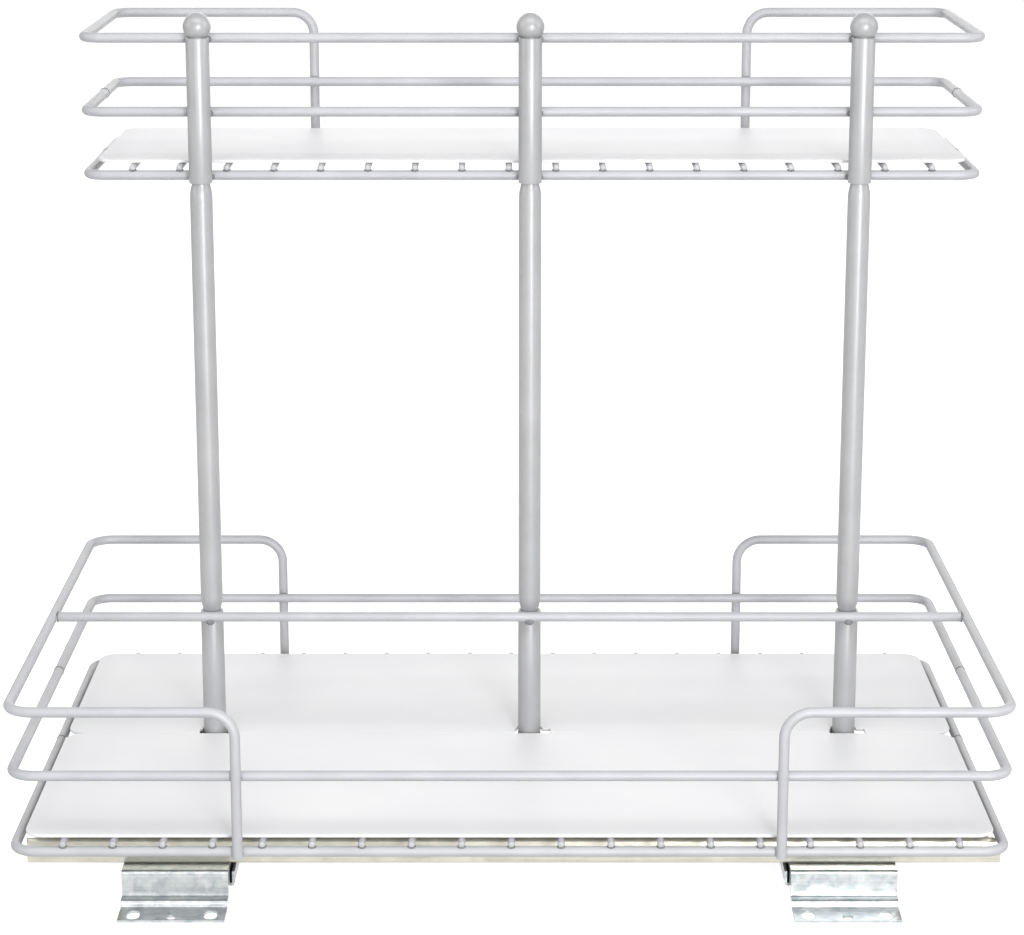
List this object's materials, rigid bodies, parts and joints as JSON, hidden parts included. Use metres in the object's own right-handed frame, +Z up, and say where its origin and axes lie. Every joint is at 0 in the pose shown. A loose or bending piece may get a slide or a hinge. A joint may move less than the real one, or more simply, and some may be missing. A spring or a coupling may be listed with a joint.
{
  "type": "under sink organizer",
  "caption": "Two-tier pull-out wire organizer for a sink cabinet, on two ball bearing slides laid flat, with plastic liners and screw-down feet.",
  "frame": {"origin": "on the cabinet floor, under the middle of the part's box", "axes": "+X is the way the basket pulls out, +Y points to the side that carries the upper basket, +Z is up"},
  "size_m": [0.46, 0.292, 0.3993],
  "materials": {
    "wire_coating": "satin silver-grey powder coat",
    "post_coating": "satin silver powder coat on steel tube",
    "liner_plastic": "white matt polypropylene sheet",
    "slide_zinc": "zinc plate with a pale yellow passivation",
    "member_zinc": "bright blue-white zinc plate",
    "ball_steel": "polished bearing steel",
    "rivet_steel": "zinc-plated steel"
  },
  "bodies": {
    "base": {"cross_member_left": "member_zinc", "cross_member_right": "member_zinc", "slide_outer_front": "slide_zinc", "slide_outer_back": "slide_zinc", "base_rivets": "rivet_steel"},
    "middle_front": {"slide_middle_front": "slide_zinc"},
    "outer_cage_front": {"outer_ball_cage_front": "slide_zinc", "outer_balls_front": "ball_steel"},
    "inner_cage_front": {"inner_ball_cage_front": "slide_zinc", "inner_balls_front": "ball_steel"},
    "middle_back": {"slide_middle_back": "slide_zinc"},
    "outer_cage_back": {"outer_ball_cage_back": "slide_zinc", "outer_balls_back": "ball_steel"},
    "inner_cage_back": {"inner_ball_cage_back": "slide_zinc", "inner_balls_back": "ball_steel"},
    "front_liner": {"lower_liner_front": "liner_plastic"},
    "back_liner": {"lower_liner_back": "liner_plastic"},
    "top_liner": {"upper_liner": "liner_plastic"},
    "basket": {"lower_bottom_ring": "wire_coating", "lower_mid_ring": "wire_coating", "lower_end_loop_left": "wire_coating", "lower_end_loop_right": "wire_coating", "lower_cross_wires": "wire_coating", "lower_centre_wire": "wire_coating", "sleeve_rail": "wire_coating", "upper_bottom_ring": "wire_coating", "upper_mid_ring": "wire_coating", "upper_top_rail": "wire_coating", "upper_cross_wires": "wire_coating", "upper_centre_wire": "wire_coating", "mounting_tabs": "wire_coating", "lower_sleeve_left": "post_coating", "post_left": "post_coating", "upper_sleeve_left": "post_coating", "finial_left": "post_coating", "lower_sleeve_centre": "post_coating", "post_centre": "post_coating", "upper_sleeve_centre": "post_coating", "finial_centre": "post_coating", "lower_sleeve_right": "post_coating", "post_right": "post_coating", "upper_sleeve_right": "post_coating", "finial_right": "post_coating", "slide_inner_front": "slide_zinc", "slide_inner_back": "slide_zinc", "tab_rivets": "rivet_steel"}
  },
  "joints": [
    {"name": "basket_slide", "type": "slide", "parent": "base", "child": "basket", "axis": [1, 0, 0], "range_m": [0, 0.45]},
    {"name": "middle_front_slide", "type": "slide", "parent": "base", "child": "middle_front", "axis": [1, 0, 0], "range_m": [0, 0.225]},
    {"name": "outer_cage_front_slide", "type": "slide", "parent": "base", "child": "outer_cage_front", "axis": [1, 0, 0], "range_m": [0, 0.1125]},
    {"name": "inner_cage_front_slide", "type": "slide", "parent": "base", "child": "inner_cage_front", "axis": [1, 0, 0], "range_m": [0, 0.3375]},
    {"name": "middle_back_slide", "type": "slide", "parent": "base", "child": "middle_back", "axis": [1, 0, 0], "range_m": [0, 0.225]},
    {"name": "outer_cage_back_slide", "type": "slide", "parent": "base", "child": "outer_cage_back", "axis": [1, 0, 0], "range_m": [0, 0.1125]},
    {"name": "inner_cage_back_slide", "type": "slide", "parent": "base", "child": "inner_cage_back", "axis": [1, 0, 0], "range_m": [0, 0.3375]},
    {"name": "front_liner_lift", "type": "slide", "parent": "basket", "child": "front_liner", "axis": [0, 0, 1], "range_m": [0, 0.055]},
    {"name": "back_liner_lift", "type": "slide", "parent": "basket", "child": "back_liner", "axis": [0, 0, 1], "range_m": [0, 0.055]},
    {"name": "top_liner_lift", "type": "slide", "parent": "basket", "child": "top_liner", "axis": [0, 0, 1], "range_m": [0, 0.08]}
  ],
  "couplings": [
    {"joint": "middle_front_slide", "follows": "basket_slide", "ratio": 0.5},
    {"joint": "outer_cage_front_slide", "follows": "basket_slide", "ratio": 0.25},
    {"joint": "inner_cage_front_slide", "follows": "basket_slide", "ratio": 0.75},
    {"joint": "middle_back_slide", "follows": "basket_slide", "ratio": 0.5},
    {"joint": "outer_cage_back_slide", "follows": "basket_slide", "ratio": 0.25},
    {"joint": "inner_cage_back_slide", "follows": "basket_slide", "ratio": 0.75}
  ]
}
